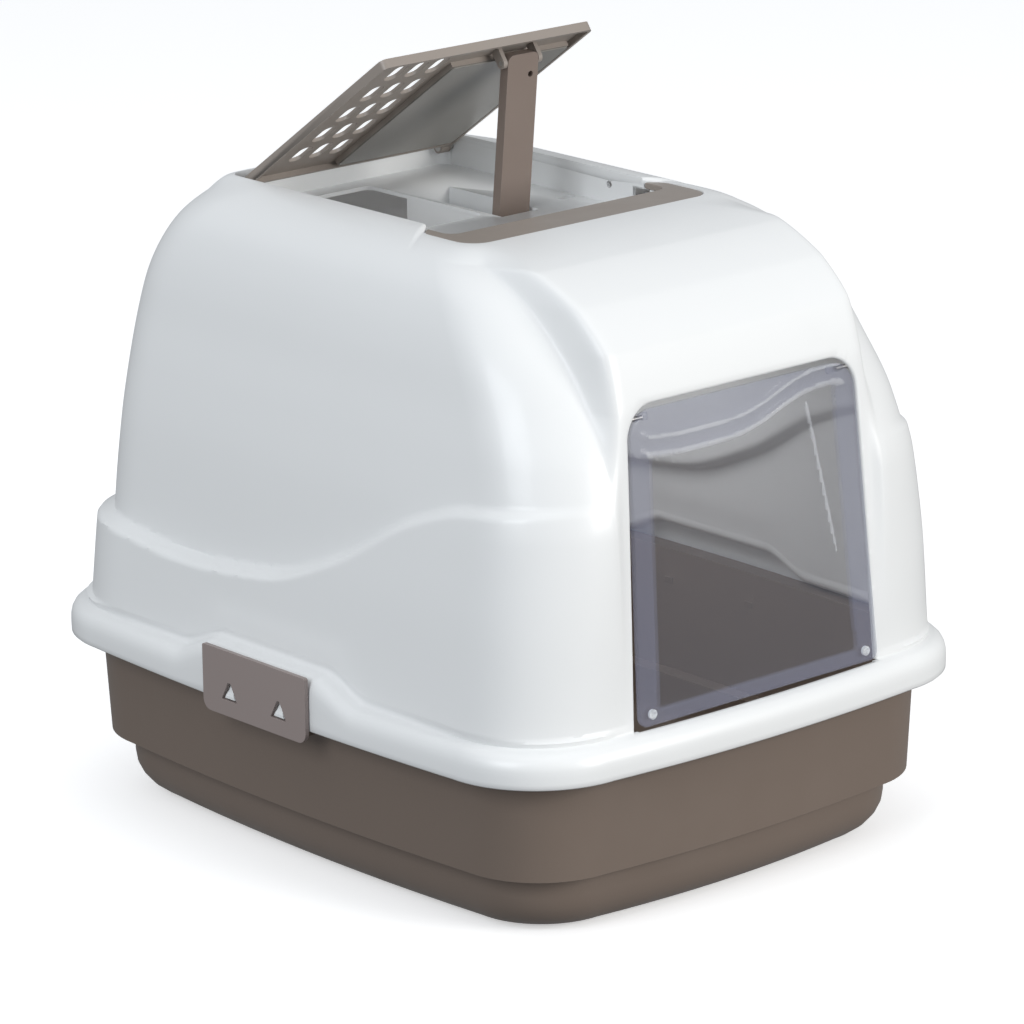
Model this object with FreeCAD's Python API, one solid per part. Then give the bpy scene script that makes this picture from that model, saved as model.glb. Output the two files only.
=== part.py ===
"""Hooded cat litter box: a tray, a hood with a clear swing door, and a propped roof hatch.

Own frame: X is the width, Y the depth (the door faces -Y) and Z is up, in millimetres.
The origin is at the centre of the tray's underside. The hatch is drawn open on its prop.
"""
import FreeCAD
import Part
import math
import os

Vector = FreeCAD.Vector

# Whole box
HALF_WIDTH = 200.0
HALF_DEPTH = 250.0
RIM_RADIUS = 67.0
RIM_BOW = 6.5
WALL = 2.5

# Tray
STEP_Z = 41.0
LOWER_CORNER = 55.0
STEP_INSET = 20.0
LOWER_INSET = 31.0
TRAY_BOTTOM_RADIUS = 26.0
TRAY_WALL = 3.0
LIP_Z = 125.0
LIP_THICKNESS = 3.0
LIP_INSET = 6.0
TRAY_TOP_INSET = 15.5

# Hood rim, a channel that hangs over the tray's lip
RIM_LOW = 107.0
RIM_TOP = 128.0

# Hood body: height, half width, front, rear and corner radius of each level
BODY_LEVELS = (
    (120.0, 174.0, -234.0, 222.0, 62.0),
    (200.0, 170.0, -233.0, 218.0, 60.0),
    (250.0, 166.5, -231.0, 213.5, 60.0),
    (290.0, 160.5, -222.0, 210.5, 60.0),
    (320.0, 154.5, -207.0, 208.0, 60.0),
    (345.0, 149.5, -190.0, 202.0, 58.0),
    (365.0, 143.5, -171.0, 193.0, 55.0),
    (382.0, 135.0, -150.0, 181.0, 50.0),
    (394.0, 122.0, -127.0, 170.0, 46.0),
    (401.0, 106.0, -104.0, 163.0, 44.0),
    (404.0, 95.0, -92.0, 158.0, 42.0),
)
# Wider skirt round the foot of the hood, below a wavy shoulder
SKIRT_LEVELS = (
    (120.0, 186.0, -238.0, 237.0, 62.0),
    (165.0, 180.0, -237.0, 231.5, 60.0),
    (200.0, 176.0, -236.0, 227.0, 60.0),
    (235.0, 171.0, -235.0, 222.0, 60.0),
    (275.0, 166.0, -230.0, 217.0, 60.0),
)
WAVE = ((260.0, 190.0), (182.0, 188.0), (100.0, 182.0), (15.0, 189.0), (-49.0, 212.0),
        (-115.0, 249.0), (-160.0, 264.0), (-260.0, 273.0))

# Band that runs from the roof over the front to the door
BAND_HALF_WIDTH = 102.0
BAND_CURVE = ((-221.5, 322.0), (-212.0, 356.0), (-188.0, 379.0), (-150.0, 395.5), (-100.0, 401.5))
FRONT_LOW_Y = -235.5
BAND_LOW_Z = 120.0
BAND_ROOF_END = 100.0
BAND_CORE_Y = -150.0
BAND_CORE_Z = 340.0

# Door opening and flap
DOOR_LOW_Z = 126.0
DOOR_TOP_Z = 324.0
DOOR_TOP_HALF = 93.0
DOOR_LOW_HALF = 101.0
DOOR_CORNER = 20.0
DOOR_GAP = 1.6
DOOR_CUT_Y = -245.0
DOOR_CUT_DEPTH = 60.0
FLAP_THICKNESS = 2.5
FLAP_AXIS_Y = -218.8
FLAP_AXIS_Z = 316.5
FLAP_OFFSET = 0.9
FLAP_LOW_Z = 131.0
FLAP_LEAN = 5.0
DOOR_PIN_RADIUS = 1.5
FLAP_KNUCKLE_RADIUS = 2.8
PIN_HOLE_START = 86.5
PIN_HOLE_LENGTH = 10.5
KNUCKLE_SPAN = (74.0, 84.6)
DOOR_PIN_START = 80.0
DOOR_PIN_LENGTH = 16.5
DOOR_BOSS = (92.8, 98.0, -220.6, -214.8, 309.0, 319.0)
BUMPER_X = 89.0
BUMPER_RISE = 7.0
BUMPER_RADIUS = 3.0
BUMPER_HEIGHT = 1.6

# Roof well, the trim strip round its front and the hatch
WELL_HALF = 89.2
WELL_FRONT = -60.0
WELL_REAR = 154.3
WELL_CORNER = 8.0
WELL_TOP = 403.9
DECK_Z = 382.5
DECK_HOLE = (-78.0, 11.5, 24.0, 138.0, 6.0)
DECK_SLOT = (73.0, 86.0, 21.0, 28.0, 2.5)
WALL_SLOT = (-44.0, -28.0, 390.0, 397.5)
WALL_HOLE = (-6.0, 394.5, 2.4)
ROOF_STEP = (-118.0, 118.0, -135.0, -40.0)
ABOVE_ROOF = 410.0
FRAME_TOP = 401.0
FRAME_FLANGE = 4.0
FRAME_HALF = 99.0
FRAME_FRONT = -91.0
FRAME_REAR = -38.0
FRAME_CORNER = 15.0
FRAME_CLEARANCE = 0.3
FRAME_SEAT = (394.5, 401.5, 3.5)
SHOULDER_Z = 401.5
HINGE_Y = 147.0
HINGE_Z = 395.5
HATCH_OPEN = 34.88
HATCH_HALF = 85.5
HATCH_LENGTH = 174.0
HATCH_TOP = 4.0
HATCH_PLATE = 2.4
HATCH_RIM_DEPTH = 6.0
HATCH_RIM_WALL = 2.5
HATCH_PIN_RADIUS = 2.5
HATCH_CORNER = 4.5
HATCH_KNUCKLE = 8.0
HATCH_PIN_LENGTH = 14.0
HATCH_PIN_HOLE = 6.0
VENT_COLUMNS = (-60.0, -43.5, -27.0)
VENT_ROWS = (36.0, 65.0, 94.0, 123.0, 152.0)
VENT_LENGTH = 21.0
VENT_WIDTH = 10.5

# Carbon filter under the hatch
FILTER_X = (-14.0, 78.0)
FILTER_ALONG = (14.0, 150.0)
FILTER_THICKNESS = 3.2
COVER_THICKNESS = 1.2
POCKET_WALL = 2.2
FILTER_CORNER = 3.0
FILTER_PLAY = 0.5

# Prop that holds the hatch open, pivoted on the hatch
PROP_X = 30.4
PROP_WIDTH = 25.0
PROP_THICKNESS = 7.0
PROP_ALONG = 160.0
PROP_DROP = 8.0
PROP_LENGTH = 102.6
PROP_UNFOLD = 49.1
PROP_END = 5.0
PROP_PIN_RADIUS = 1.5
PROP_CORNER = 4.5
PROP_GAP = 0.4
PROP_LUG_WIDTH = 3.0
PROP_LUG_RADIUS = 3.5
HANG_HOLE_RADIUS = 2.0
HANG_HOLE_INSET = 6.0
HANG_HOLE_ALONG = 9.0
TROUGH_HALF = 15.5
TROUGH_FRONT = 12.0
TROUGH_REAR = 99.0
TROUGH_FLOOR = 360.0
RAMP_TOP = 380.6
RAMP_FOOT = 46.6

# Side clips
CLIP_X = 200.3
CLIP_THICKNESS = 3.0
CLIP_HALF = 50.0
CLIP_LOW = 99.7
CLIP_TOP = 142.0
CLIP_AXIS_X = 197.5
CLIP_AXIS_Z = 103.0
CLIP_BARREL = 3.3
CLIP_BARREL_HALF = 34.0
CLIP_PIN_RADIUS = 1.6
CLIP_LUG_SPAN = (34.6, 42.0)
CLIP_LUG_NOSE = 2.45
CLIP_LUG_DROP = 1.5
CLIP_LUG_ROOT = 179.5
WINDOW_Y = 24.0
WINDOW = ((-7.5, 110.0), (7.5, 110.0), (1.2, 121.5), (-1.2, 121.5))
PAD_TOP = 140.0
PAD_FLAT = 58.0
PAD_FOOT = 100.0
PAD_SHOULDER_Z = 116.0
PAD_DEPTH = 28.0
WEDGE_SIDE = ((-1.0, 119.5), (0.4, 119.5), (2.8, 113.0), (2.8, 111.3), (-1.0, 111.3))
WEDGE_FACE = ((-4.8, 111.0), (4.8, 111.0), (0.6, 119.8), (-0.6, 119.8))

RUNNING_FIT = 0.05


def outline(half_x, front, rear, radius, bow, z):
    """Closed wire: a rounded rectangle whose four sides bulge by bow."""
    middle = (front + rear) / 2.0
    corners = (
        (half_x - bow - radius, rear - bow - radius, 0.0),
        (-half_x + bow + radius, rear - bow - radius, 90.0),
        (-half_x + bow + radius, front + bow + radius, 180.0),
        (half_x - bow - radius, front + bow + radius, 270.0),
    )
    bulges = ((0.0, rear), (-half_x, middle), (0.0, front), (half_x, middle))
    arcs = []
    for x, y, start in corners:
        points = []
        for turn in (0.0, 45.0, 90.0):
            angle = math.radians(start + turn)
            points.append(Vector(x + radius * math.cos(angle), y + radius * math.sin(angle), z))
        arcs.append(points)
    edges = []
    for index, points in enumerate(arcs):
        following = arcs[(index + 1) % 4]
        edges.append(Part.Arc(*points).toShape())
        if bow > 0.0:
            x, y = bulges[index]
            edges.append(Part.Arc(points[2], Vector(x, y, z), following[0]).toShape())
        else:
            edges.append(Part.LineSegment(points[2], following[0]).toShape())
    return Part.Wire(edges)


def rim_outline(inset, radius, z):
    """The box's own outline, set in by inset."""
    return outline(HALF_WIDTH - inset, -HALF_DEPTH + inset, HALF_DEPTH - inset, radius, RIM_BOW, z)


def prism(wire, height):
    """Straight solid that rises from a flat wire."""
    return Part.Face(wire).extrude(Vector(0, 0, height))


def block(x0, x1, y0, y1, z0, z1):
    """Box between two corners."""
    return Part.makeBox(x1 - x0, y1 - y0, z1 - z0, Vector(x0, y0, z0))


def rounded_block(x0, x1, y0, y1, z0, z1, radius):
    """Box whose upright edges are rounded."""
    shape = block(x0, x1, y0, y1, z0, z1)
    upright = [edge for edge in shape.Edges if abs(edge.Vertexes[0].Z - edge.Vertexes[1].Z) > 0.01]
    return shape.makeFillet(radius, upright)


def rod(radius, x, y, z, direction, length):
    """Cylinder from a point along a direction."""
    return Part.makeCylinder(radius, length, Vector(x, y, z), direction)


def polygon(points, make_point):
    """Face inside straight lines through the points."""
    corners = [make_point(a, b) for a, b in points]
    return Part.Face(Part.makePolygon(corners + corners[:1]))


def level_loft(levels, inset, drop):
    """Solid through level outlines, set in by inset and lowered by up to drop."""
    low = levels[0][0]
    span = levels[-1][0] - low
    wires = []
    for z, half_x, front, rear, radius in levels:
        height = z - drop * (z - low) / span
        wires.append(outline(half_x - inset, front + inset, rear - inset, radius - inset, 0.0, height))
    return Part.makeLoft(wires, True, True)


def band_solid(inset):
    """The raised band, from the front over the curve and back along the roof."""
    half = BAND_HALF_WIDTH - inset
    curve_points = [Vector(-half, y + inset, z - inset) for y, z in BAND_CURVE]
    curve = Part.BSplineCurve()
    curve.interpolate(Points=curve_points, InitialTangent=Vector(0, 0, 1), FinalTangent=Vector(0, 1, 0))
    low = Vector(-half, FRONT_LOW_Y + inset, BAND_LOW_Z)
    roof_end = Vector(-half, BAND_ROOF_END, BAND_CURVE[-1][1] - inset)
    inner = [Vector(-half, BAND_ROOF_END, BAND_CORE_Z), Vector(-half, BAND_CORE_Y, BAND_CORE_Z),
             Vector(-half, BAND_CORE_Y, BAND_LOW_Z)]
    edges = [Part.LineSegment(low, curve_points[0]).toShape(), curve.toShape()]
    corners = [curve_points[-1], roof_end] + inner + [low]
    for start, end in zip(corners, corners[1:]):
        edges.append(Part.LineSegment(start, end).toShape())
    return Part.Face(Part.Wire(edges)).extrude(Vector(2.0 * half, 0, 0))


def skirt_solid(inset):
    """The skirt, cut along its wavy shoulder."""
    skirt = level_loft(SKIRT_LEVELS, inset, 0.0)
    wave_points = [Vector(-220.0, y, z - inset) for y, z in WAVE]
    wave = Part.BSplineCurve()
    wave.interpolate(wave_points)
    rear = wave_points[0]
    front = wave_points[-1]
    edges = [wave.toShape()]
    corners = [front, Vector(-220.0, front.y, 100.0), Vector(-220.0, rear.y, 100.0), rear]
    for start, end in zip(corners, corners[1:]):
        edges.append(Part.LineSegment(start, end).toShape())
    return skirt.common(Part.Face(Part.Wire(edges)).extrude(Vector(440.0, 0, 0)))


def clip_pad(side, inset):
    """Flat raised pad of the hood's rim behind a clip, with sloped shoulders."""
    top = PAD_TOP - inset
    flat = PAD_FLAT - inset
    foot = PAD_FOOT - inset
    points = ((-foot, RIM_LOW), (-foot, PAD_SHOULDER_Z), (-flat, top),
              (flat, top), (foot, PAD_SHOULDER_Z), (foot, RIM_LOW))
    outer = side * (HALF_WIDTH - inset)
    face = polygon(points, lambda y, z: Vector(outer, y, z))
    return face.extrude(Vector(-side * (PAD_DEPTH - 2.0 * inset), 0, 0))


def catch_wedge(side, y):
    """Gable-shaped wedge on the rim that a clip's window snaps over."""
    profile = polygon(WEDGE_SIDE, lambda x, z: Vector(side * (HALF_WIDTH + x), y - 6.0, z))
    gable = polygon(WEDGE_FACE, lambda across, z: Vector(side * (HALF_WIDTH - 2.0), y + across, z))
    return profile.extrude(Vector(0, 12.0, 0)).common(gable.extrude(Vector(side * 6.0, 0, 0)))


def hood_volume(inset):
    """Everything inside the hood's skin, at an inset from its outer face."""
    volume = level_loft(BODY_LEVELS, inset, inset)
    volume = volume.fuse(band_solid(inset))
    volume = volume.fuse(skirt_solid(inset))
    return volume


def door_opening():
    """Tapered opening with rounded top corners, as a cutter through the front."""
    points = ((-DOOR_LOW_HALF, DOOR_LOW_Z), (DOOR_LOW_HALF, DOOR_LOW_Z),
              (DOOR_TOP_HALF, DOOR_TOP_Z), (-DOOR_TOP_HALF, DOOR_TOP_Z))
    cutter = polygon(points, lambda x, z: Vector(x, DOOR_CUT_Y, z)).extrude(Vector(0, DOOR_CUT_DEPTH, 0))
    deep = [edge for edge in cutter.Edges if abs(edge.Length - DOOR_CUT_DEPTH) < 0.01]
    top = [edge for edge in deep if abs(edge.Vertexes[0].Z - DOOR_TOP_Z) < 0.01]
    return cutter.makeFillet(DOOR_CORNER, top)


def trough(margin):
    """Trough that the prop's foot sweeps, grown by margin."""
    points = (
        (TROUGH_FRONT - margin, DECK_Z + 1.0),
        (TROUGH_FRONT - margin, RAMP_TOP - margin),
        (RAMP_FOOT - margin, TROUGH_FLOOR - margin),
        (TROUGH_REAR + margin, TROUGH_FLOOR - margin),
        (TROUGH_REAR + margin, DECK_Z + 1.0),
    )
    face = polygon(points, lambda y, z: Vector(PROP_X - TROUGH_HALF - margin, y, z))
    return face.extrude(Vector(2.0 * (TROUGH_HALF + margin), 0, 0))


def frame_plan(z0, z1, grow):
    """Plan of the trim strip before the well is cut out of it."""
    return rounded_block(-FRAME_HALF - grow, FRAME_HALF + grow, FRAME_FRONT - grow, FRAME_REAR + grow,
                         z0, z1, FRAME_CORNER)


def well_block(inset, z0, z1, radius):
    """Rounded block that fills the roof well, set in by inset."""
    return rounded_block(-WELL_HALF + inset, WELL_HALF - inset, WELL_FRONT + inset, WELL_REAR - inset,
                         z0, z1, radius)


def make_hood():
    rim = prism(rim_outline(0.0, RIM_RADIUS, RIM_LOW), RIM_TOP - RIM_LOW)
    rim_edge = [edge for edge in rim.Edges if all(abs(v.Z - RIM_TOP) < 0.01 for v in edge.Vertexes)
                and edge.BoundBox.ZLength < 0.01]
    rim = rim.makeFillet(8.0, rim_edge)
    channel = prism(rim_outline(WALL + 0.5, RIM_RADIUS - WALL, RIM_LOW - 1.0), LIP_Z - RIM_LOW + 1.0)
    hood = hood_volume(0.0).fuse(rim)
    for side in (-1, 1):
        hood = hood.fuse(clip_pad(side, 0.0))
    for side in (-1, 1):
        channel = channel.fuse(clip_pad(side, WALL))
    hood = hood.cut(hood_volume(WALL)).cut(channel)
    below = block(-HALF_WIDTH, HALF_WIDTH, -HALF_DEPTH, HALF_DEPTH, 90.0, RIM_LOW)
    hood = hood.cut(below)
    well = well_block(-WALL, DECK_Z - WALL, WELL_TOP, WELL_CORNER + 2.0)
    hood = hood.fuse(well).fuse(frame_plan(*FRAME_SEAT)).fuse(trough(WALL))
    hood = hood.cut(block(*ROOF_STEP, SHOULDER_Z, ABOVE_ROOF))
    hood = hood.cut(well_block(0.0, DECK_Z, ABOVE_ROOF, WELL_CORNER))
    hood = hood.cut(trough(0.0))
    hood = hood.cut(frame_plan(FRAME_TOP - FRAME_FLANGE, ABOVE_ROOF, FRAME_CLEARANCE))
    for x0, x1, y0, y1, radius in (DECK_HOLE, DECK_SLOT):
        hood = hood.cut(rounded_block(x0, x1, y0, y1, DECK_Z - 2.0 * WALL, DECK_Z + 1.0, radius))
    hood = hood.cut(block(WELL_HALF - 1.0, WELL_HALF + 2.0 * WALL, *WALL_SLOT))
    hole_y, hole_z, hole_radius = WALL_HOLE
    hood = hood.cut(rod(hole_radius, WELL_HALF - 1.0, hole_y, hole_z, Vector(1, 0, 0), 2.0 * WALL))
    hood = hood.cut(door_opening())
    for side in (-1, 1):
        hood = hood.cut(rod(HATCH_PIN_RADIUS + RUNNING_FIT, side * (WELL_HALF - 1.0), HINGE_Y, HINGE_Z,
                            Vector(side, 0, 0), HATCH_PIN_HOLE))
        x0, x1 = sorted((side * DOOR_BOSS[0], side * DOOR_BOSS[1]))
        boss = block(x0, x1, *DOOR_BOSS[2:])
        pin_hole = rod(DOOR_PIN_RADIUS + RUNNING_FIT, side * PIN_HOLE_START, FLAP_AXIS_Y, FLAP_AXIS_Z,
                       Vector(side, 0, 0), PIN_HOLE_LENGTH)
        hood = hood.fuse(boss).cut(pin_hole)
        for y in (-WINDOW_Y, WINDOW_Y):
            hood = hood.fuse(catch_wedge(side, y))
    return hood


def tray_levels(wall):
    """Wires of the tray's rounded lower part, set in by the wall."""
    radius = TRAY_BOTTOM_RADIUS - wall
    wires = []
    for step in range(7):
        angle = math.radians(15.0 * step)
        inset = LOWER_INSET + wall + radius * (1.0 - math.sin(angle))
        corner = LOWER_CORNER - 0.5 * (inset - LOWER_INSET)
        wires.append(rim_outline(inset, corner, wall + radius * (1.0 - math.cos(angle))))
    wires.append(rim_outline(LOWER_INSET + wall, LOWER_CORNER - 0.5 * wall, STEP_Z + wall))
    return wires


def make_tray():
    outer = Part.makeLoft(tray_levels(0.0), True, True)
    inner = Part.makeLoft(tray_levels(TRAY_WALL), True, True)
    upper_outer = Part.makeLoft([rim_outline(STEP_INSET, 57.0, STEP_Z),
                                 rim_outline(TRAY_TOP_INSET, 61.0, LIP_Z)], True, True)
    upper_inner = Part.makeLoft([rim_outline(STEP_INSET + TRAY_WALL, 55.0, STEP_Z + TRAY_WALL),
                                 rim_outline(TRAY_TOP_INSET + TRAY_WALL, 59.0, LIP_Z)], True, True)
    lip = prism(rim_outline(LIP_INSET, 64.0, LIP_Z - LIP_THICKNESS), LIP_THICKNESS)
    lip = lip.cut(prism(rim_outline(TRAY_TOP_INSET + TRAY_WALL, 59.0, LIP_Z - LIP_THICKNESS - 1.0), 8.0))
    tray = outer.fuse(upper_outer).fuse(lip).cut(inner).cut(upper_inner)
    for side in (-1, 1):
        for end in (-1, 1):
            near = min(end * CLIP_LUG_SPAN[0], end * CLIP_LUG_SPAN[1])
            far = max(end * CLIP_LUG_SPAN[0], end * CLIP_LUG_SPAN[1])
            x0, x1 = sorted((side * CLIP_LUG_ROOT, side * CLIP_AXIS_X))
            lug = block(x0, x1, near, far, CLIP_AXIS_Z - CLIP_LUG_DROP, CLIP_AXIS_Z + CLIP_LUG_NOSE)
            nose = rod(CLIP_LUG_NOSE, side * CLIP_AXIS_X, near, CLIP_AXIS_Z, Vector(0, 1, 0), far - near)
            hole = rod(CLIP_PIN_RADIUS, side * CLIP_AXIS_X, near - 1.0, CLIP_AXIS_Z, Vector(0, 1, 0),
                       far - near + 2.0)
            tray = tray.fuse(lug.fuse(nose)).cut(hole)
    return tray


def make_frame():
    strip = frame_plan(FRAME_TOP - FRAME_FLANGE, FRAME_TOP, 0.0)
    return strip.cut(well_block(0.0, FRAME_TOP - FRAME_FLANGE - 1.0, FRAME_TOP + 1.0, WELL_CORNER))


def hatch_pose(shape):
    """Turn a piece that is drawn on the closed hatch up to the propped pose."""
    shape.rotate(Vector(0, HINGE_Y, HINGE_Z), Vector(1, 0, 0), -HATCH_OPEN)
    return shape


def along(distance):
    """Y of a point of the closed hatch at a distance from its hinge."""
    return HINGE_Y - distance


def make_hatch_lid():
    top = HINGE_Z + HATCH_TOP
    front = along(HATCH_LENGTH)
    knuckle_start = HATCH_HALF - HATCH_KNUCKLE
    low = top - HATCH_RIM_DEPTH
    inner_half = HATCH_HALF - HATCH_RIM_WALL
    lid = rounded_block(-HATCH_HALF, HATCH_HALF, front, HINGE_Y + 1.0, low, top, HATCH_CORNER)
    hollow = rounded_block(-inner_half, inner_half, front + HATCH_RIM_WALL, HINGE_Y - HATCH_KNUCKLE,
                           low - 1.0, top - HATCH_PLATE, HATCH_CORNER - 2.0)
    rear_gap = block(-knuckle_start, knuckle_start, HINGE_Y - HATCH_KNUCKLE + 2.0, HINGE_Y + 2.0,
                     low - 1.0, top - HATCH_PLATE)
    behind = block(-HATCH_HALF - 1.0, HATCH_HALF + 1.0, HINGE_Y, HINGE_Y + 2.0, low - 1.0, top + 1.0)
    lid = lid.cut(hollow).cut(rear_gap).cut(behind)
    for side in (-1, 1):
        barrel = rod(HATCH_TOP, side * knuckle_start, HINGE_Y, HINGE_Z, Vector(side, 0, 0), HATCH_KNUCKLE)
        bore = rod(HATCH_PIN_RADIUS, side * (knuckle_start - 1.0), HINGE_Y, HINGE_Z, Vector(side, 0, 0),
                   HATCH_KNUCKLE + 4.0)
        lid = lid.fuse(barrel).cut(bore)
    for x in VENT_COLUMNS:
        for distance in VENT_ROWS:
            slot = rounded_block(x - VENT_WIDTH / 2.0, x + VENT_WIDTH / 2.0,
                                 along(distance + VENT_LENGTH / 2.0), along(distance - VENT_LENGTH / 2.0),
                                 top - HATCH_PLATE - 1.0, top + 1.0, VENT_WIDTH / 2.0 - 0.3)
            lid = lid.cut(slot)
    wall_low = top - HATCH_PLATE - FILTER_THICKNESS
    pocket_wall = block(FILTER_X[0] - POCKET_WALL, FILTER_X[1] + POCKET_WALL,
                        along(FILTER_ALONG[1]) - POCKET_WALL, along(FILTER_ALONG[0]) + POCKET_WALL,
                        wall_low, top - HATCH_PLATE)
    pocket = block(FILTER_X[0], FILTER_X[1], along(FILTER_ALONG[1]), along(FILTER_ALONG[0]),
                   wall_low - 1.0, top - HATCH_PLATE)
    lid = lid.fuse(pocket_wall.cut(pocket))
    pivot_z = HINGE_Z - PROP_DROP
    for side in (-1, 1):
        inner = PROP_X + side * (PROP_WIDTH / 2.0 + PROP_GAP)
        x0, x1 = sorted((inner, inner + side * PROP_LUG_WIDTH))
        lug = block(x0, x1, along(PROP_ALONG) - PROP_LUG_RADIUS, along(PROP_ALONG) + PROP_LUG_RADIUS,
                    pivot_z, top - HATCH_PLATE)
        nose = rod(PROP_LUG_RADIUS, x0, along(PROP_ALONG), pivot_z, Vector(1, 0, 0), PROP_LUG_WIDTH)
        bore = rod(PROP_PIN_RADIUS, x0 - 1.0, along(PROP_ALONG), pivot_z, Vector(1, 0, 0),
                   PROP_LUG_WIDTH + 2.0)
        lid = lid.fuse(lug.fuse(nose)).cut(bore)
    return hatch_pose(lid)


def make_hatch_pins():
    pins = []
    for side in (-1, 1):
        pins.append(rod(HATCH_PIN_RADIUS, side * (HATCH_HALF - HATCH_KNUCKLE), HINGE_Y, HINGE_Z,
                        Vector(side, 0, 0), HATCH_PIN_LENGTH))
    return hatch_pose(Part.makeCompound(pins))


def make_filter_pad():
    top = HINGE_Z + HATCH_TOP - HATCH_PLATE - 0.1
    pad = rounded_block(FILTER_X[0] + FILTER_PLAY, FILTER_X[1] - FILTER_PLAY,
                        along(FILTER_ALONG[1]) + FILTER_PLAY, along(FILTER_ALONG[0]) - FILTER_PLAY,
                        top - FILTER_THICKNESS + 0.3, top, FILTER_CORNER)
    return hatch_pose(pad)


def make_filter_cover():
    top = HINGE_Z + HATCH_TOP - HATCH_PLATE - FILTER_THICKNESS
    cover = rounded_block(FILTER_X[0] - POCKET_WALL, FILTER_X[1] + POCKET_WALL,
                          along(FILTER_ALONG[1]) - POCKET_WALL, along(FILTER_ALONG[0]) + POCKET_WALL,
                          top - COVER_THICKNESS, top, FILTER_CORNER)
    return hatch_pose(cover)


def prop_pivot():
    """Pivot of the prop with the hatch open, and the prop's tilt from pointing straight back."""
    angle = math.radians(HATCH_OPEN)
    y = HINGE_Y - PROP_ALONG * math.cos(angle) - PROP_DROP * math.sin(angle)
    z = HINGE_Z + PROP_ALONG * math.sin(angle) - PROP_DROP * math.cos(angle)
    return y, z, HATCH_OPEN + PROP_UNFOLD


def make_prop():
    pivot_y, pivot_z, tilt = prop_pivot()
    half = PROP_WIDTH / 2.0
    blade = block(PROP_X - half, PROP_X + half, pivot_y - PROP_END, pivot_y + PROP_LENGTH,
                  pivot_z - PROP_THICKNESS / 2.0, pivot_z + PROP_THICKNESS / 2.0)
    corners = [edge for edge in blade.Edges if abs(edge.Length - PROP_THICKNESS) < 0.01
               and edge.Vertexes[0].Y < pivot_y]
    blade = blade.makeFillet(PROP_CORNER, corners)
    bore = rod(PROP_PIN_RADIUS + RUNNING_FIT, PROP_X - half - 1.0, pivot_y, pivot_z, Vector(1, 0, 0),
               PROP_WIDTH + 2.0)
    hang_hole = rod(HANG_HOLE_RADIUS, PROP_X + half - HANG_HOLE_INSET, pivot_y + HANG_HOLE_ALONG,
                    pivot_z - PROP_THICKNESS, Vector(0, 0, 1), 2.0 * PROP_THICKNESS)
    blade = blade.cut(bore).cut(hang_hole)
    blade.rotate(Vector(0, pivot_y, pivot_z), Vector(1, 0, 0), -tilt)
    return blade


def make_prop_pin():
    pivot_y, pivot_z, _ = prop_pivot()
    reach = PROP_WIDTH / 2.0 + PROP_GAP + PROP_LUG_WIDTH
    return rod(PROP_PIN_RADIUS, PROP_X - reach, pivot_y, pivot_z, Vector(1, 0, 0), 2.0 * reach)


def door_pose(shape):
    """Lean a piece of the hanging door out to its rest angle."""
    shape.rotate(Vector(0, FLAP_AXIS_Y, FLAP_AXIS_Z), Vector(1, 0, 0), -FLAP_LEAN)
    return shape


def make_door_flap():
    slope = (DOOR_LOW_HALF - DOOR_TOP_HALF) / (DOOR_TOP_Z - DOOR_LOW_Z)
    top_z = FLAP_AXIS_Z + 4.5
    top_half = DOOR_TOP_HALF + slope * (DOOR_TOP_Z - top_z) - DOOR_GAP
    low_half = DOOR_TOP_HALF + slope * (DOOR_TOP_Z - FLAP_LOW_Z) - DOOR_GAP
    face_y = FLAP_AXIS_Y - FLAP_OFFSET - FLAP_THICKNESS / 2.0
    points = ((-low_half, FLAP_LOW_Z), (low_half, FLAP_LOW_Z), (top_half, top_z), (-top_half, top_z))
    flap = polygon(points, lambda x, z: Vector(x, face_y, z)).extrude(Vector(0, FLAP_THICKNESS, 0))
    across = [edge for edge in flap.Edges if abs(edge.Length - FLAP_THICKNESS) < 0.01]
    top = [edge for edge in across if edge.Vertexes[0].Z > FLAP_AXIS_Z]
    low = [edge for edge in across if edge.Vertexes[0].Z < FLAP_AXIS_Z]
    flap = flap.makeFillet(DOOR_CORNER - 2.0, top).makeFillet(6.0, low)
    for side in (-1, 1):
        knuckle = rod(FLAP_KNUCKLE_RADIUS, side * KNUCKLE_SPAN[0], FLAP_AXIS_Y, FLAP_AXIS_Z,
                      Vector(side, 0, 0), KNUCKLE_SPAN[1] - KNUCKLE_SPAN[0])
        bore = rod(DOOR_PIN_RADIUS, side * DOOR_PIN_START, FLAP_AXIS_Y, FLAP_AXIS_Z,
                   Vector(side, 0, 0), DOOR_PIN_LENGTH)
        flap = flap.fuse(knuckle).cut(bore)
    return door_pose(flap)


def make_door_pins():
    pins = []
    for side in (-1, 1):
        pins.append(rod(DOOR_PIN_RADIUS, side * DOOR_PIN_START, FLAP_AXIS_Y, FLAP_AXIS_Z,
                        Vector(side, 0, 0), DOOR_PIN_LENGTH))
    return Part.makeCompound(pins)


def make_door_bumpers():
    face_y = FLAP_AXIS_Y - FLAP_OFFSET - FLAP_THICKNESS / 2.0
    bumpers = []
    for side in (-1, 1):
        bumpers.append(rod(BUMPER_RADIUS, side * BUMPER_X, face_y - BUMPER_HEIGHT, FLAP_LOW_Z + BUMPER_RISE,
                           Vector(0, 1, 0), BUMPER_HEIGHT))
    return door_pose(Part.makeCompound(bumpers))


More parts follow.
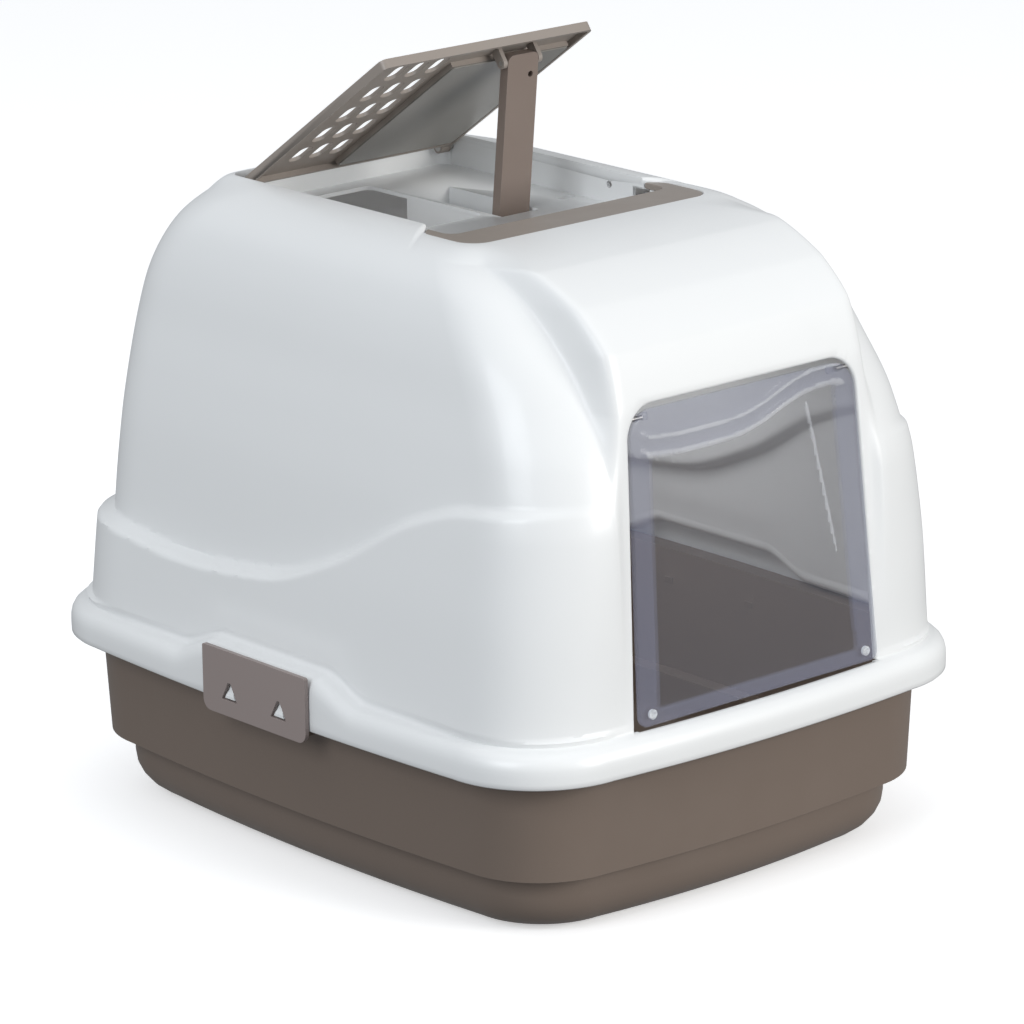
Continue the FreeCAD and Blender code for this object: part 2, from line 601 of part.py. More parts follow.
def make_clip(side):
    """Side clip: a plate with two windows on a barrel along its foot."""
    x0, x1 = sorted((side * CLIP_X, side * (CLIP_X + CLIP_THICKNESS)))
    plate = block(x0, x1, -CLIP_HALF, CLIP_HALF, CLIP_LOW, CLIP_TOP)
    across = [edge for edge in plate.Edges if abs(edge.Length - CLIP_THICKNESS) < 0.01]
    low = [edge for edge in across if edge.Vertexes[0].Z < CLIP_AXIS_Z]
    top = [edge for edge in across if edge.Vertexes[0].Z > CLIP_AXIS_Z]
    plate = plate.makeFillet(7.0, low).makeFillet(1.5, top)
    for y in (-WINDOW_Y, WINDOW_Y):
        window = polygon(WINDOW, lambda across, z: Vector(x0 - 1.0, y + across, z))
        plate = plate.cut(window.extrude(Vector(CLIP_THICKNESS + 2.0, 0, 0)))
    barrel = rod(CLIP_BARREL, side * CLIP_AXIS_X, -CLIP_BARREL_HALF, CLIP_AXIS_Z, Vector(0, 1, 0),
                 2.0 * CLIP_BARREL_HALF)
    web_x0, web_x1 = sorted((side * CLIP_AXIS_X, side * (CLIP_X + 1.0)))
    web = block(web_x0, web_x1, -CLIP_BARREL_HALF, CLIP_BARREL_HALF,
                CLIP_AXIS_Z - CLIP_BARREL, CLIP_AXIS_Z)
    bore = rod(CLIP_PIN_RADIUS + RUNNING_FIT, side * CLIP_AXIS_X, -CLIP_BARREL_HALF - 1.0, CLIP_AXIS_Z,
               Vector(0, 1, 0), 2.0 * CLIP_BARREL_HALF + 2.0)
    return plate.fuse(web).fuse(barrel).cut(bore)


def make_clip_pin(side):
    reach = CLIP_LUG_SPAN[1] + 0.8
    return rod(CLIP_PIN_RADIUS, side * CLIP_AXIS_X, -reach, CLIP_AXIS_Z, Vector(0, 1, 0), 2.0 * reach)


def main():
    os.makedirs("parts", exist_ok=True)
    pieces = {
        "tray": make_tray(),
        "hood": make_hood(),
        "roof_frame": make_frame(),
        "hatch_lid": make_hatch_lid(),
        "hatch_hinge_pins": make_hatch_pins(),
        "filter_pad": make_filter_pad(),
        "filter_cover": make_filter_cover(),
        "hatch_prop": make_prop(),
        "prop_pin": make_prop_pin(),
        "door_flap": make_door_flap(),
        "door_hinge_pins": make_door_pins(),
        "door_bumpers": make_door_bumpers(),
        "clip_left": make_clip(-1),
        "clip_right": make_clip(1),
        "clip_pin_left": make_clip_pin(-1),
        "clip_pin_right": make_clip_pin(1),
    }
    for name, shape in pieces.items():
        shape.exportStep("parts/" + name + ".step")
        print(name, "valid", shape.isValid(), "solids", len(shape.Solids), "volume", round(shape.Volume))


main()
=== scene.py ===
"""Looks of the hooded cat litter box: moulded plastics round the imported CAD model.

Lengths in the tables are millimetres in the shared frame: X width, Y depth (door at -Y), Z up.
"""

import math

import bmesh
import bpy
import numpy as np
from mathutils import Matrix, Vector


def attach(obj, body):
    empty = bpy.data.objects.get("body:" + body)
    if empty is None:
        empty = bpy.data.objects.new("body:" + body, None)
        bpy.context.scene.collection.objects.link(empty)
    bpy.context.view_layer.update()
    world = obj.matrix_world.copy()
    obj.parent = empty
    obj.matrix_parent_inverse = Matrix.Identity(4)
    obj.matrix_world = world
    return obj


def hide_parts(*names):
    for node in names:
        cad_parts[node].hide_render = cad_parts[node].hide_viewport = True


MM = 0.001

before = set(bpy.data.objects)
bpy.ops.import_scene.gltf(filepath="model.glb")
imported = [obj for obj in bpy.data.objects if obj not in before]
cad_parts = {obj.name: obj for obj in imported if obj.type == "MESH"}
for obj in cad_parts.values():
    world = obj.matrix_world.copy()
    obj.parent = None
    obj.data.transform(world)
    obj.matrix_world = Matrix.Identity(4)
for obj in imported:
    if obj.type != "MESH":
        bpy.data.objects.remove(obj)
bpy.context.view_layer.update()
scene = bpy.context.scene

# ---------------------------------------------------------------- shared sizes
HALF_WIDTH = 200.0
HALF_DEPTH = 250.0

# Hood body: height, half width, front, rear, front corner radius, rear corner radius
BODY_LEVELS = np.array((
    (134.5, 173.3, -234.0, 221.2, 62.0, 62.0),
    (200.0, 170.0, -233.0, 218.0, 60.0, 60.0),
    (250.0, 166.5, -231.0, 213.5, 60.0, 60.0),
    (290.0, 160.5, -222.0, 210.5, 60.0, 60.0),
    (320.0, 154.5, -207.0, 208.0, 60.0, 60.0),
    (345.0, 149.5, -190.0, 202.0, 58.0, 58.0),
    (365.0, 143.5, -171.0, 193.0, 55.0, 55.0),
    (382.0, 135.0, -150.0, 181.0, 50.0, 50.0),
    (394.0, 122.0, -127.0, 170.0, 46.0, 46.0),
    (401.0, 106.0, -104.0, 163.0, 44.0, 40.0),
    (403.8, 95.6, -92.0, 159.0, 42.0, 16.0),
))
# Skirt: height, extra width on the sides, extra width at the rear
SKIRT = np.array(((120.0, 13.0, 15.5), (165.0, 11.0, 13.5), (200.0, 9.5, 11.5), (235.0, 7.0, 9.0),
                  (275.0, 4.5, 6.5)))
# Shoulder of the skirt: distance along the box, height
WAVE = np.array(((-260.0, 273.0), (-160.0, 264.0), (-115.0, 249.0), (-49.0, 212.0), (15.0, 189.0),
                 (100.0, 182.0), (182.0, 188.0), (260.0, 190.0)))
WAVE_SOFTNESS = 6.0
# Rim bead: inset from the box outline, height, bow of its sides, corner radius
RIM_ROWS = (
    (0.9, 107.0, 6.5, 67.0), (0.1, 107.9, 6.5, 67.0), (0.0, 111.0, 6.5, 67.0), (0.0, 115.0, 6.5, 67.0),
    (0.1, 118.5, 6.5, 67.0), (0.7, 121.8, 6.5, 66.7), (2.0, 124.8, 6.5, 66.2), (4.2, 127.2, 6.4, 65.5),
    (7.0, 128.6, 6.0, 64.5), (10.0, 129.3, 5.0, 63.8), (12.3, 130.0, 3.6, 63.0), (13.9, 131.2, 2.0, 62.5),
    (14.8, 132.8, 0.7, 62.0),
)
# Rise of the rim behind the clips: its height, its flat and foot along the side, where it fades in and out
PAD_LIFT = 12.5
PAD_FLAT = 53.0
PAD_FOOT = 86.0
PAD_FADE_IN = (109.0, 118.0)
PAD_FADE_OUT = (134.5, 170.5)

# Band over the front: distance along the box, height
BAND = np.array(((-235.3, 125.0), (-221.5, 322.0), (-212.0, 356.0), (-188.0, 379.0), (-150.0, 395.5),
                 (-104.0, 401.0), (-91.6, 401.5)))
BAND_ROWS = np.array(((125.0, 0.0), (322.0, 1.0), (356.0, 2.0), (379.0, 3.0), (394.0, 4.0), (401.0, 5.0),
                      (403.8, 6.0)))
BAND_PROFILE = np.array(((0.0, 1.0), (94.0, 1.0), (97.0, 0.992), (99.5, 0.965), (101.5, 0.90), (103.5, 0.74),
                         (105.5, 0.50), (107.5, 0.24), (109.0, 0.08), (110.3, 0.015), (112.0, 0.0)))
BAND_REACH = 112.0
BAND_MARGIN = 11.0

# Door opening
DOOR_LOW_Z = 126.0
DOOR_TOP_Z = 324.0
DOOR_TOP_HALF = 93.0
DOOR_LOW_HALF = 101.0
DOOR_CORNER = 20.0
DOOR_LIP = 2.0
DOOR_SILL_Z = 129.9
DOOR_WALL_Y = -200.0

# Flap
FLAP_AXIS_Y = -218.8
FLAP_AXIS_Z = 316.5
FLAP_FACE_Y = -220.95
FLAP_THICKNESS = 2.5
FLAP_LOW_Z = 131.0
FLAP_TOP_Z = 321.0
FLAP_GAP = 1.6
FLAP_LEAN = 5.0

SHELL = 2.2

# Roof: above ROOF_TURN_Z the skin runs straight in plan to the edge of the well and the trim strip
ROOF_MIDDLE = 20.0
ROOF_EDGE_GAP = 0.7
ROOF_TURN_Z = 394.0
ROOF_TOP = 403.8
ROOF_FRONT_TOP = 401.4
ROOF_STEP = (-36.0, -40.0)
LIP_SHRINK = 0.997
LIP_EDGE = 0.9
LIP_FOOT_Z = 396.5
WELL_WALL_TOP = 400.0
# Holes in the roof: half width, front, rear, corner radius
ROOF_WELL = (88.8, -60.0, 153.9, 8.0)
ROOF_STRIP = (99.0, -91.0, -38.0, 15.0)


# ---------------------------------------------------------------- small maths
def smoothstep(value):
    value = np.clip(value, 0.0, 1.0)
    return value * value * (3.0 - 2.0 * value)


def rise(value, start, end):
    """Share of the way from start to end, held at none and one outside it."""
    return np.clip((value - start) / (end - start), 0.0, 1.0)


def cubic(keys, at):
    """Monotone cubic through a table: its first column is the position, the others are the values."""
    x = keys[:, 0]
    y = keys[:, 1:]
    gap = np.diff(x)[:, None]
    slope = np.diff(y, axis=0) / gap
    tangent = np.zeros_like(y)
    before, after = slope[:-1], slope[1:]
    same = before * after > 1e-12
    weight_a = 2.0 * gap[1:] + gap[:-1]
    weight_b = gap[1:] + 2.0 * gap[:-1]
    safe_before = np.where(same, before, 1.0)
    safe_after = np.where(same, after, 1.0)
    mean = (weight_a + weight_b) / (weight_a / safe_before + weight_b / safe_after)
    tangent[1:-1] = np.where(same, mean, 0.0)
    tangent[0] = slope[0]
    tangent[-1] = slope[-1]
    at = np.clip(np.asarray(at, float), x[0], x[-1])
    i = np.clip(np.searchsorted(x, at, side="right") - 1, 0, len(x) - 2)
    t = ((at - x[i]) / (x[i + 1] - x[i]))[..., None]
    h = (x[i + 1] - x[i])[..., None]
    h00 = 2 * t ** 3 - 3 * t ** 2 + 1
    h10 = t ** 3 - 2 * t ** 2 + t
    h01 = -2 * t ** 3 + 3 * t ** 2
    h11 = t ** 3 - t ** 2
    return h00 * y[i] + h10 * h * tangent[i] + h01 * y[i + 1] + h11 * h * tangent[i + 1]


def rounded_box_distance(x, y, half_x, y0, y1, radius):
    qx = np.abs(x) - half_x + radius
    qy = np.abs(y - (y0 + y1) / 2.0) - (y1 - y0) / 2.0 + radius
    outside = np.hypot(np.maximum(qx, 0.0), np.maximum(qy, 0.0))
    return outside + np.minimum(np.maximum(qx, qy), 0.0) - radius


def roof_edge_distance(x, y):
    """Distance in plan from the hole in the roof: the trim strip and the well behind it."""
    return np.minimum(rounded_box_distance(x, y, *ROOF_WELL), rounded_box_distance(x, y, *ROOF_STRIP))


def onto_roof_edge(x, y):
    """Move plan points along their ray from the roof's middle to just outside that hole."""
    inside, outside = np.full(x.shape, 0.02), np.full(x.shape, 60.0)
    for _ in range(40):
        share = (inside + outside) / 2.0
        within = roof_edge_distance(share * x, ROOF_MIDDLE + share * (y - ROOF_MIDDLE)) < ROOF_EDGE_GAP
        inside = np.where(within, share, inside)
        outside = np.where(within, outside, share)
    return inside * x, ROOF_MIDDLE + inside * (y - ROOF_MIDDLE)


def door_half(z):
    return DOOR_LOW_HALF + (DOOR_TOP_HALF - DOOR_LOW_HALF) * (z - DOOR_LOW_Z) / (DOOR_TOP_Z - DOOR_LOW_Z)


def door_distance(x, z, grow):
    """Distance from the door opening's outline in the front wall, and the direction away from it."""
    radius = DOOR_CORNER + grow
    qx = np.abs(x) - door_half(z) - grow + radius
    qz = z - DOOR_TOP_Z - grow + radius
    corner = (qx > 0.0) & (qz > 0.0)
    length = np.maximum(np.hypot(qx, qz), 1e-9)
    distance = np.where(corner, length - radius, np.maximum(qx, qz) - radius)
    side = np.where(qx > qz, 1.0, 0.0)
    away_x = np.where(corner, qx / length, side) * np.sign(x)
    away_z = np.where(corner, qz / length, 1.0 - side)
    return distance, away_x, away_z


# ---------------------------------------------------------------- meshes
def add_mesh(name, points, faces):
    """Mesh object from points in millimetres."""
    mesh = bpy.data.meshes.new(name)
    mesh.from_pydata([tuple(p) for p in np.asarray(points, float) * MM], [], [tuple(f) for f in faces])
    mesh.update()
    obj = bpy.data.objects.new(name, mesh)
    scene.collection.objects.link(obj)
    return obj


def grid_faces(rows, columns, closed, start=0):
    faces = []
    for i in range(rows - 1):
        for j in range(columns if closed else columns - 1):
            k = (j + 1) % columns
            faces.append((start + i * columns + j, start + i * columns + k,
                          start + (i + 1) * columns + k, start + (i + 1) * columns + j))
    return faces


def smooth(obj, angle=None):
    for polygon in obj.data.polygons:
        polygon.use_smooth = True
    if angle is not None:
        obj.data.set_sharp_from_angle(angle=math.radians(angle))
    return obj


def dress(obj, material, slot, body, *nodes):
    """Give a piece its material, let it ride on its body and stand for CAD nodes; the slot argument is not
    used.
    """
    obj.data.materials.clear()
    obj.data.materials.append(material)
    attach(obj, body)
    if nodes:
        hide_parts(*nodes)
    return obj


def bevelled(obj, width, segments=3, angle=32.0):
    modifier = obj.modifiers.new("soft edges", "BEVEL")
    modifier.width = width * MM
    modifier.segments = segments
    modifier.limit_method = "ANGLE"
    modifier.angle_limit = math.radians(angle)
    modifier.use_clamp_overlap = True
    modifier.harden_normals = True
    return obj


def from_cad(node, name, keep=None):
    """New piece with a CAD node's faces, joined up and cleared of flat seams."""
    mesh = bpy.data.meshes.new(name)
    work = bmesh.new()
    work.from_mesh(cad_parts[node].data)
    bmesh.ops.remove_doubles(work, verts=work.verts, dist=2e-6)
    if keep is not None:
        gone = [face for face in work.faces if not keep(face.calc_center_median() / MM)]
        bmesh.ops.delete(work, geom=gone, context="FACES")
    bmesh.ops.dissolve_limit(work, angle_limit=math.radians(0.6), verts=work.verts, edges=work.edges)
    work.to_mesh(mesh)
    work.free()
    obj = bpy.data.objects.new(name, mesh)
    scene.collection.objects.link(obj)
    return smooth(obj, 32.0)


# ---------------------------------------------------------------- materials
def plastic(name, colour, roughness, mottle=0.03, mottle_scale=7.0, grain=0.05, grain_scale=650.0,
            wear=0.12, coat=0.0, metallic=0.0, specular=0.5, alpha=1.0, stored_edges=False):
    """Procedural finish: slow colour drift, uneven roughness, fine grain and lighter worn edges."""
    material = bpy.data.materials.new(name)
    material.use_nodes = True
    nodes = material.node_tree.nodes
    links = material.node_tree.links
    shader = nodes["Principled BSDF"]
    place = nodes.new("ShaderNodeTexCoord")

    def noise(scale, detail):
        node = nodes.new("ShaderNodeTexNoise")
        node.inputs["Scale"].default_value = scale
        node.inputs["Detail"].default_value = detail
        links.new(place.outputs["Object"], node.inputs["Vector"])
        return node.outputs["Fac"]

    def mix(factor, a, b):
        node = nodes.new("ShaderNodeMix")
        node.data_type = "RGBA"
        links.new(factor, node.inputs[0])
        for socket, value in ((node.inputs[6], a), (node.inputs[7], b)):
            if isinstance(value, tuple):
                socket.default_value = (*value, 1.0)
            else:
                links.new(value, socket)
        return node.outputs[2]

    def spread(value, low, high, to_low, to_high):
        node = nodes.new("ShaderNodeMapRange")
        node.inputs["From Min"].default_value = low
        node.inputs["From Max"].default_value = high
        node.inputs["To Min"].default_value = to_low
        node.inputs["To Max"].default_value = to_high
        links.new(value, node.inputs["Value"])
        return node.outputs["Result"]

    darker = tuple(c * (1.0 - mottle) for c in colour)
    lighter = tuple(min(1.0, c * (1.0 + mottle)) for c in colour)
    drift = mix(noise(mottle_scale, 3.0), darker, lighter)
    worn = tuple(c + (1.0 - c) * 0.35 for c in colour)
    if stored_edges:
        stored = nodes.new("ShaderNodeAttribute")
        stored.attribute_name = "edge_wear"
        edges = spread(stored.outputs["Fac"], 0.0, 1.0, 0.0, wear)
    else:
        geometry = nodes.new("ShaderNodeNewGeometry")
        rounded = nodes.new("ShaderNodeBevel")
        rounded.samples = 4
        rounded.inputs["Radius"].default_value = 0.0012
        facing = nodes.new("ShaderNodeVectorMath")
        facing.operation = "DOT_PRODUCT"
        links.new(rounded.outputs["Normal"], facing.inputs[0])
        links.new(geometry.outputs["Normal"], facing.inputs[1])
        edges = spread(facing.outputs["Value"], 0.88, 0.55, 0.0, wear)
    links.new(mix(edges, drift, worn), shader.inputs["Base Color"])
    links.new(spread(noise(38.0, 4.0), 0.3, 0.7, roughness * 0.86, min(1.0, roughness * 1.16)),
              shader.inputs["Roughness"])
    bump = nodes.new("ShaderNodeBump")
    bump.inputs["Strength"].default_value = grain
    bump.inputs["Distance"].default_value = 0.0004
    links.new(noise(grain_scale, 2.0), bump.inputs["Height"])
    links.new(bump.outputs["Normal"], shader.inputs["Normal"])
    shader.inputs["Metallic"].default_value = metallic
    shader.inputs["Coat Weight"].default_value = coat
    shader.inputs["Coat Roughness"].default_value = 0.12
    shader.inputs["Specular IOR Level"].default_value = specular
    shader.inputs["Alpha"].default_value = alpha
    return material


hood_white = plastic("hood white", (0.79, 0.80, 0.80), 0.38, mottle=0.012, wear=0.15, coat=0.15,
                     stored_edges=True)
tray_taupe = plastic("tray taupe", (0.176, 0.136, 0.110), 0.42, mottle=0.05, grain=0.10)
trim_taupe = plastic("trim taupe", (0.290, 0.252, 0.222), 0.40, mottle=0.05, grain=0.08)
clip_taupe = plastic("clip taupe", (0.290, 0.240, 0.225), 0.38, mottle=0.05, grain=0.08)
prop_taupe = plastic("prop taupe", (0.205, 0.160, 0.135), 0.40, mottle=0.05, grain=0.08)
cover_grey = plastic("cover grey", (0.235, 0.225, 0.205), 0.22, mottle=0.06, grain=0.05)
carbon = plastic("carbon felt", (0.018, 0.018, 0.018), 0.95, mottle=0.3, mottle_scale=160.0, grain=0.6,
                 grain_scale=420.0, wear=0.02)
smoke_clear = plastic("smoke clear", (0.50, 0.52, 0.60), 0.10, mottle=0.02, wear=0.3, grain=0.02, alpha=0.07)
# Paler, denser smoke for the flap's ridges and rib: its light colour is a painted highlight standing in for
# the glints along the moulding's folds
smoke_painted_highlight = plastic("smoke painted highlight", (0.78, 0.80, 0.86), 0.10, mottle=0.02, wear=0.3, grain=0.02, alpha=0.30)
smoke_dark = plastic("smoke dark", (0.36, 0.38, 0.50), 0.12, mottle=0.02, wear=0.4, grain=0.02, alpha=0.22)
stud_white = plastic("stud white", (0.78, 0.80, 0.82), 0.35, mottle=0.02)
pin_steel = plastic("pin steel", (0.46, 0.45, 0.44), 0.34, mottle=0.05, metallic=1.0, wear=0.2)


# ---------------------------------------------------------------- hood skin
FRONT_STEPS = np.concatenate((np.arange(0.0, 84.0, 2.4), np.arange(84.0, 92.0, 1.2),
                              np.arange(92.0, 112.0, 0.9), (112.0,))) / BAND_REACH
FRONT = np.concatenate((-FRONT_STEPS[:0:-1], FRONT_STEPS))
CORNER = np.linspace(0.0, 1.0, 35)[1:]
SIDE = np.linspace(0.0, 1.0, 131)[1:]
REAR_CORNER = np.linspace(0.0, 1.0, 33)[1:]
REAR = np.linspace(0.0, 1.0, 41)[1:]


def plan_rows(half, front, rear, radius, rear_radius, bow, reach):
    """Closed plan outlines, one per row: along the front from left to right, then round the rear."""
    half, front, rear, radius, rear_radius, bow, reach = (
        np.asarray(v, float).reshape(-1, 1) for v in (half, front, rear, radius, rear_radius, bow, reach))
    inner = half - bow - radius
    x = FRONT[None, :] * reach
    over = np.clip(np.abs(x) - inner, 0.0, radius)
    bowed = bow * np.clip(np.abs(x) / inner, 0.0, 1.0) ** 2
    y = front + bowed + radius - np.sqrt(radius ** 2 - over ** 2)
    straight = np.clip(inner - reach, 0.0, None)
    first = np.arcsin(np.clip((reach - inner) / radius, 0.0, 1.0))
    run = (straight + radius * (math.pi / 2.0 - first)) * CORNER[None, :]
    on_line = run < straight
    turn = first + (run - straight) / radius
    line_x = np.minimum(reach + run, inner)
    corner_x = np.where(on_line, line_x, inner + radius * np.sin(turn))
    corner_y = np.where(on_line, front + bow * (line_x / inner) ** 2,
                        front + bow + radius - radius * np.cos(turn))
    low, high = front + bow + radius, rear - bow - rear_radius
    side_x = half - bow * (2.0 * SIDE[None, :] - 1.0) ** 2
    side_y = low + (high - low) * SIDE[None, :]
    angle = math.pi / 2.0 * REAR_CORNER[None, :]
    rear_corner_x = half - bow - rear_radius + rear_radius * np.cos(angle)
    rear_corner_y = high + rear_radius * np.sin(angle)
    flat = half - bow - rear_radius
    rear_x = flat * (1.0 - REAR[None, :])
    rear_y = rear - bow * (1.0 - REAR[None, :]) ** 2
    right_x = np.concatenate((corner_x, side_x, rear_corner_x, rear_x), axis=1)
    right_y = np.concatenate((corner_y, side_y, rear_corner_y, rear_y), axis=1)
    all_x = np.concatenate((x, right_x, -right_x[:, -2::-1]), axis=1)
    all_y = np.concatenate((y, right_y, right_y[:, -2::-1]), axis=1)
    return all_x, all_y


def plan_normals(x, y):
    """Outward direction in plan along each closed row."""
    dx = np.roll(x, -1, axis=1) - np.roll(x, 1, axis=1)
    dy = np.roll(y, -1, axis=1) - np.roll(y, 1, axis=1)
    length = np.maximum(np.hypot(dx, dy), 1e-9)
    return dy / length, -dx / length


def pad_height(x, y):
    """How far the rim rises behind the clips."""
    ramp = rise(np.abs(y), PAD_FOOT, PAD_FLAT)
    return PAD_LIFT * (0.6 * ramp + 0.4 * smoothstep(ramp)) * (np.abs(x) > 150.0)


def band_curve(row_heights):
    """Depth and height of the band for each body row, with faint creases at the table's bends."""
    dense = np.linspace(0.0, 6.0, 1201)
    index = np.arange(len(BAND), dtype=float)
    corners = np.stack([np.interp(dense, index, BAND[:, k]) for k in (0, 1)], axis=1)
    flowing = cubic(np.column_stack((index, BAND)), dense)
    soft = corners.copy()
    kernel = np.exp(-np.linspace(-2.2, 2.2, 61) ** 2)
    kernel /= kernel.sum()
    for k in (0, 1):
        padded = np.pad(corners[:, k], 30, mode="reflect", reflect_type="odd")
        soft[:, k] = np.convolve(padded, kernel, mode="valid")
    curve = 0.55 * flowing + 0.45 * soft
    place = np.interp(row_heights, BAND_ROWS[:, 0], BAND_ROWS[:, 1])
    return np.interp(place, dense, curve[:, 0]), np.interp(place, dense, curve[:, 1])


def body_rows():
    """Heights and outline values of the hood body's rows, about 2 mm apart along the surface."""
    lift, widen, forward = np.diff(BODY_LEVELS[:, :3], axis=0).T
    step = np.sqrt(lift ** 2 + np.maximum(widen, forward) ** 2 + forward ** 2)
    chord = np.concatenate(((0.0,), np.cumsum(step)))
    places = np.linspace(0.0, chord[-1], int(chord[-1] / 2.0))
    return cubic(np.column_stack((chord, BODY_LEVELS)), places)


def hood_grid():
    """Points of the hood skin as rows of closed outlines, from the rim's foot up to the roof's edge."""
    inset, height, bow, radius = np.array(RIM_ROWS).T
    reach = np.full(len(inset), BAND_REACH)
    rim_x, rim_y = plan_rows(HALF_WIDTH - inset, -HALF_DEPTH + inset, HALF_DEPTH - inset, radius, radius,
                             bow, reach)
    rim_z = np.repeat(height[:, None], rim_x.shape[1], axis=1)
    rim_z = rim_z + pad_height(rim_x, rim_y) * smoothstep(rise(rim_z, *PAD_FADE_IN))

    levels = body_rows()
    z = levels[:, :1]
    reach = np.minimum(BAND_REACH, levels[:, 1] - BAND_MARGIN)
    x, y = plan_rows(levels[:, 1], levels[:, 2], levels[:, 3], levels[:, 4], levels[:, 5],
                     np.zeros(len(levels)), reach)
    normal_x, normal_y = plan_normals(x, y)
    skirt = cubic(SKIRT, z[:, 0])
    along = np.linspace(WAVE[0, 0], WAVE[-1, 0], 261)
    wave = np.interp(y, along, cubic(WAVE, along)[:, 0])
    mask = smoothstep((wave - z) / WAVE_SOFTNESS + 0.5)
    grow = (normal_x ** 2 * skirt[:, :1] + np.clip(normal_y, 0.0, 1.0) ** 2 * skirt[:, 1:]) * mask
    x = x + normal_x * grow
    y = y + normal_y * grow
    z = np.repeat(z, x.shape[1], axis=1)

    band_y, band_z = band_curve(levels[:, 0])
    front = slice(0, len(FRONT))
    band_x = FRONT[None, :] * BAND_REACH
    share = np.interp(np.abs(band_x), BAND_PROFILE[:, 0], BAND_PROFILE[:, 1])
    x[:, front] = share * band_x + (1.0 - share) * x[:, front]
    y[:, front] = share * band_y[:, None] + (1.0 - share) * y[:, front]
    z[:, front] = share * band_z[:, None] + (1.0 - share) * z[:, front]

    turn = int(np.searchsorted(levels[:, 0], ROOF_TURN_Z))
    edge_x, edge_y = onto_roof_edge(x[turn], y[turn])
    edge_z = ROOF_TOP - (ROOF_TOP - ROOF_FRONT_TOP) * rise(edge_y, *ROOF_STEP)
    share = np.linspace(0.0, 1.0, len(x) - turn)[:, None]
    x[turn:] = x[turn] + share * (edge_x - x[turn])
    y[turn:] = y[turn] + share * (edge_y - y[turn])
    z[turn:] = z[turn] + (1.0 - (1.0 - share) ** 2) * (edge_z - z[turn])
    z = z + pad_height(x, y) * (1.0 - smoothstep(rise(z, *PAD_FADE_OUT)))

    lip_x, lip_y = LIP_SHRINK * edge_x, LIP_SHRINK * edge_y
    grid_x = np.vstack((rim_x, x, lip_x, lip_x))
    grid_y = np.vstack((rim_y, y, lip_y, lip_y))
    grid_z = np.vstack((rim_z, z, edge_z - LIP_EDGE, np.full_like(edge_z, LIP_FOOT_Z)))
    return grid_x, grid_y, grid_z


def round_door(point):
    """True for skin points round the door opening."""
    return (abs(point.x) < DOOR_LOW_HALF + 3.5 and DOOR_LOW_Z + 2.0 < point.z < DOOR_TOP_Z + 4.0
            and point.y < DOOR_WALL_Y)


def make_hood_skin():
    """The hood's skin with the door opening cut to its outline and a rolled lip round it."""
    x, y, z = hood_grid()
    rows, columns = x.shape
    points = np.stack((x, y, z), axis=-1).reshape(-1, 3)
    faces = np.array(grid_faces(rows, columns, True))
    distance, away_x, away_z = door_distance(points[:, 0], points[:, 2], DOOR_LIP)
    in_front = (points[:, 1] < DOOR_WALL_Y) & (points[:, 2] > DOOR_SILL_Z)
    inside = in_front & (distance < -0.01)
    keep = ~inside[faces].any(axis=1)
    used = np.zeros(len(points), bool)
    used[faces[~keep].ravel()] = True
    edge = used & ~inside & in_front
    move = np.where(edge, distance, 0.0)
    points[:, 0] -= move * away_x
    points[:, 2] -= move * away_z
    order = -np.ones(len(points), int)
    kept = np.unique(faces[keep])
    order[kept] = np.arange(len(kept))
    obj = add_mesh("hood_skin", points[kept], order[faces[keep]])

    work = bmesh.new()
    work.from_mesh(obj.data)
    rim_edges = [e for e in work.edges if e.is_boundary and all(round_door(v.co / MM) for v in e.verts)]
    origin = {v: v.co.copy() for e in rim_edges for v in e.verts}
    for turn, depth in ((25.0, 0.0), (50.0, 0.0), (75.0, 0.0), (90.0, 0.0), (90.0, 1.0)):
        grown = bmesh.ops.extrude_edge_only(work, edges=rim_edges)["geom"]
        new_edges = [g for g in grown if isinstance(g, bmesh.types.BMEdge)]
        old_verts = {v for e in rim_edges for v in e.verts}
        new_origin = {}
        for e in new_edges:
            for v in e.verts:
                if v not in new_origin:
                    match = min((o for link in v.link_edges for o in [link.other_vert(v)] if o in old_verts),
                                key=lambda o: (o.co - v.co).length)
                    new_origin[v] = origin[match]
        for v, start in new_origin.items():
            _, ax, az = door_distance(np.array([start.x / MM]), np.array([start.z / MM]), DOOR_LIP)
            if start.z / MM < DOOR_SILL_Z + 1.5 and abs(start.x / MM) < 100.0:
                ax, az = np.array([0.0]), np.array([0.35])
            inward = DOOR_LIP * math.sin(math.radians(turn))
            back = DOOR_LIP * (1.0 - math.cos(math.radians(turn))) + depth
            v.co = Vector((start.x - ax[0] * inward * MM, start.y + back * MM, start.z - az[0] * inward * MM))
        rim_edges = new_edges
        origin = new_origin
    work.normal_update()
    layer = work.verts.layers.float.new("edge_wear")
    for vertex in work.verts:
        bends = [edge.calc_face_angle_signed(0.0) for edge in vertex.link_edges]
        vertex[layer] = min(1.0, max(0.0, (max(bends) - 0.18) / 0.3))
    work.to_mesh(obj.data)
    work.free()
    smooth(obj, 50.0)
    shell = obj.modifiers.new("wall", "SOLIDIFY")
    shell.thickness = SHELL * MM
    shell.offset = -1.0
    shell.use_even_offset = False
    return dress(obj, hood_white, "hood_plastic", "base", "hood")


make_hood_skin()


def in_well(p):
    """True for faces of the well sunk in the roof."""
    return abs(p.x) < 92.6 and -62.6 < p.y < 157.5 and 354.0 < p.z < WELL_WALL_TOP


def on_lug(p):
    """True for faces of the lugs on the rim's sides that hold the clips."""
    return abs(p.x) > HALF_WIDTH + 0.02 and 111.0 < p.z < 120.0


def on_knuckle(p):
    """True for faces of the knuckles behind the flap's top."""
    return p.y > -218.0 and p.z > 310.0


